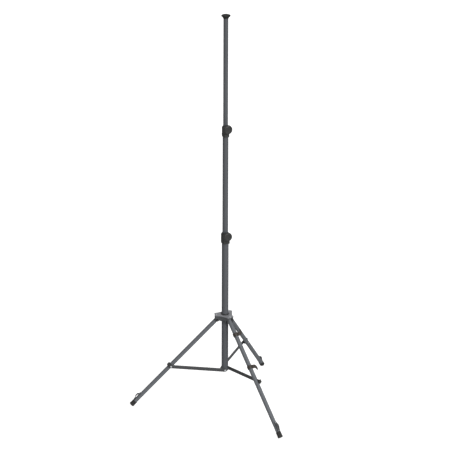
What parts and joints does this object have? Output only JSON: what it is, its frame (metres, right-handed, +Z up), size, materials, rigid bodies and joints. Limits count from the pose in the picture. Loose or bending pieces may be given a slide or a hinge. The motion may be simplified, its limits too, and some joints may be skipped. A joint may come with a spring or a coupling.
{
  "type": "tripod stand",
  "caption": "Telescoping tripod stand: mast in sliding sections with knob clamps, fold-up legs on a sliding hub with flat struts, rubber feet and cable hooks on one leg.",
  "frame": {"origin": "on the floor, on the axis of the mast", "axes": "+Z up along the mast; -X towards the foot of the left leg, which stands square to +Y; the front leg stands at 300 degrees and the back leg at 60 degrees round +Z from +X"},
  "size_m": [0.7547, 0.8672, 2.0855],
  "materials": {
    "mast_paint": "satin grey powder coat on steel tube",
    "strut_paint": "satin dark grey coat on flat steel bar",
    "hub_paint": "satin grey paint on a die casting",
    "plate_paint": "lighter satin grey paint on pressed steel",
    "black_plastic": "fine textured black glass-filled nylon",
    "hook_plastic": "smooth dark brown-black plastic",
    "foot_rubber": "matt black rubber",
    "loop_steel": "satin grey coat on spring steel strip",
    "fastener_zinc": "bright zinc-plated steel",
    "bearing_nylon": "natural nylon"
  },
  "bodies": {
    "mast": {"lower_tube": "mast_paint", "mast_end_plug": "black_plastic", "strut_pivot_bolts": "fastener_zinc", "strut_pivot_washers": "bearing_nylon", "lower_collar": "black_plastic", "lower_bush": "black_plastic", "lower_clamp_pad": "bearing_nylon", "lower_collar_rivets": "fastener_zinc"},
    "lower_clamp_knob": {"lower_knob": "black_plastic", "lower_knob_cap": "black_plastic", "lower_knob_stud": "fastener_zinc"},
    "middle": {"middle_tube": "mast_paint", "middle_guide_bush": "bearing_nylon", "upper_collar": "black_plastic", "upper_bush": "black_plastic", "upper_clamp_pad": "bearing_nylon", "upper_collar_rivets": "fastener_zinc"},
    "upper_clamp_knob": {"upper_knob": "black_plastic", "upper_knob_cap": "black_plastic", "upper_knob_stud": "fastener_zinc"},
    "top": {"top_tube": "mast_paint", "top_guide_bush": "bearing_nylon", "top_cap": "black_plastic"},
    "hub": {"hub_body": "hub_paint", "hub_plate": "plate_paint", "hub_plate_screws": "fastener_zinc", "hub_bush": "black_plastic", "leg_pivot_bolts": "fastener_zinc", "leg_pivot_nuts": "fastener_zinc"},
    "hub_clamp_knob": {"hub_knob": "black_plastic", "hub_knob_stud": "fastener_zinc"},
    "leg_left": {"left_leg_tube": "mast_paint", "left_leg_plug": "black_plastic", "left_strut_bracket": "black_plastic", "left_bracket_rivet": "fastener_zinc", "left_foot_cap": "foot_rubber", "left_foot_loop": "loop_steel", "left_loop_rivets": "fastener_zinc"},
    "strut_left": {"left_strut": "strut_paint", "left_strut_pin": "fastener_zinc"},
    "leg_front": {"front_leg_tube": "mast_paint", "front_leg_plug": "black_plastic", "front_strut_bracket": "black_plastic", "front_bracket_rivet": "fastener_zinc", "front_foot_cap": "foot_rubber", "front_foot_loop": "loop_steel", "front_loop_rivets": "fastener_zinc", "cable_hook_upper": "hook_plastic", "cable_hook_lower": "hook_plastic"},
    "strut_front": {"front_strut": "strut_paint", "front_strut_pin": "fastener_zinc"},
    "leg_back": {"back_leg_tube": "mast_paint", "back_leg_plug": "black_plastic", "back_strut_bracket": "black_plastic", "back_bracket_rivet": "fastener_zinc", "back_foot_cap": "foot_rubber", "back_foot_loop": "loop_steel", "back_loop_rivets": "fastener_zinc"},
    "strut_back": {"back_strut": "strut_paint", "back_strut_pin": "fastener_zinc"}
  },
  "joints": [
    {"name": "middle_slide", "type": "slide", "parent": "mast", "child": "middle", "axis": [0, 0, 1], "range_m": [-0.51, 0]},
    {"name": "top_slide", "type": "slide", "parent": "middle", "child": "top", "axis": [0, 0, 1], "range_m": [-0.54, 0]},
    {"name": "lower_knob_turn", "type": "hinge", "parent": "mast", "child": "lower_clamp_knob", "pos_m": [0, 0, 0.9465], "axis": [0.2079, -0.9781, 0], "range_deg": [0, 540]},
    {"name": "upper_knob_turn", "type": "hinge", "parent": "middle", "child": "upper_clamp_knob", "pos_m": [0, 0, 1.5125], "axis": [0.2079, -0.9781, 0], "range_deg": [0, 540]},
    {"name": "hub_slide", "type": "slide", "parent": "mast", "child": "hub", "axis": [0, 0, 1], "range_m": [0, 0.34303]},
    {"name": "hub_knob_turn", "type": "hinge", "parent": "hub", "child": "hub_clamp_knob", "pos_m": [0, 0, 0.48651], "axis": [-0.5, 0.866, 0], "range_deg": [0, 540]},
    {"name": "leg_left_fold", "type": "hinge", "parent": "hub", "child": "leg_left", "pos_m": [-0.042, 0, 0.48101], "axis": [0, -1, 0], "range_deg": [0, 43.31]},
    {"name": "leg_front_fold", "type": "hinge", "parent": "hub", "child": "leg_front", "pos_m": [0.021, -0.03637, 0.48101], "axis": [0.866, 0.5, 0], "range_deg": [0, 43.31]},
    {"name": "leg_back_fold", "type": "hinge", "parent": "hub", "child": "leg_back", "pos_m": [0.021, 0.03637, 0.48101], "axis": [-0.866, 0.5, 0], "range_deg": [0, 43.31]},
    {"name": "strut_left_fold", "type": "hinge", "parent": "mast", "child": "strut_left", "pos_m": [0, 0, 0.195], "axis": [0, 1, 0], "range_deg": [0, 74.99]},
    {"name": "strut_front_fold", "type": "hinge", "parent": "mast", "child": "strut_front", "pos_m": [0, 0, 0.195], "axis": [-0.866, -0.5, 0], "range_deg": [0, 74.99]},
    {"name": "strut_back_fold", "type": "hinge", "parent": "mast", "child": "strut_back", "pos_m": [0, 0, 0.195], "axis": [0.866, -0.5, 0], "range_deg": [0, 74.99]}
  ],
  "couplings": [
    {"joint": "leg_left_fold", "follows": "hub_slide", "rad_per_m": 2.2031},
    {"joint": "leg_front_fold", "follows": "hub_slide", "rad_per_m": 2.2031},
    {"joint": "leg_back_fold", "follows": "hub_slide", "rad_per_m": 2.2031},
    {"joint": "strut_left_fold", "follows": "hub_slide", "rad_per_m": 3.8149},
    {"joint": "strut_front_fold", "follows": "hub_slide", "rad_per_m": 3.8149},
    {"joint": "strut_back_fold", "follows": "hub_slide", "rad_per_m": 3.8149}
  ]
}
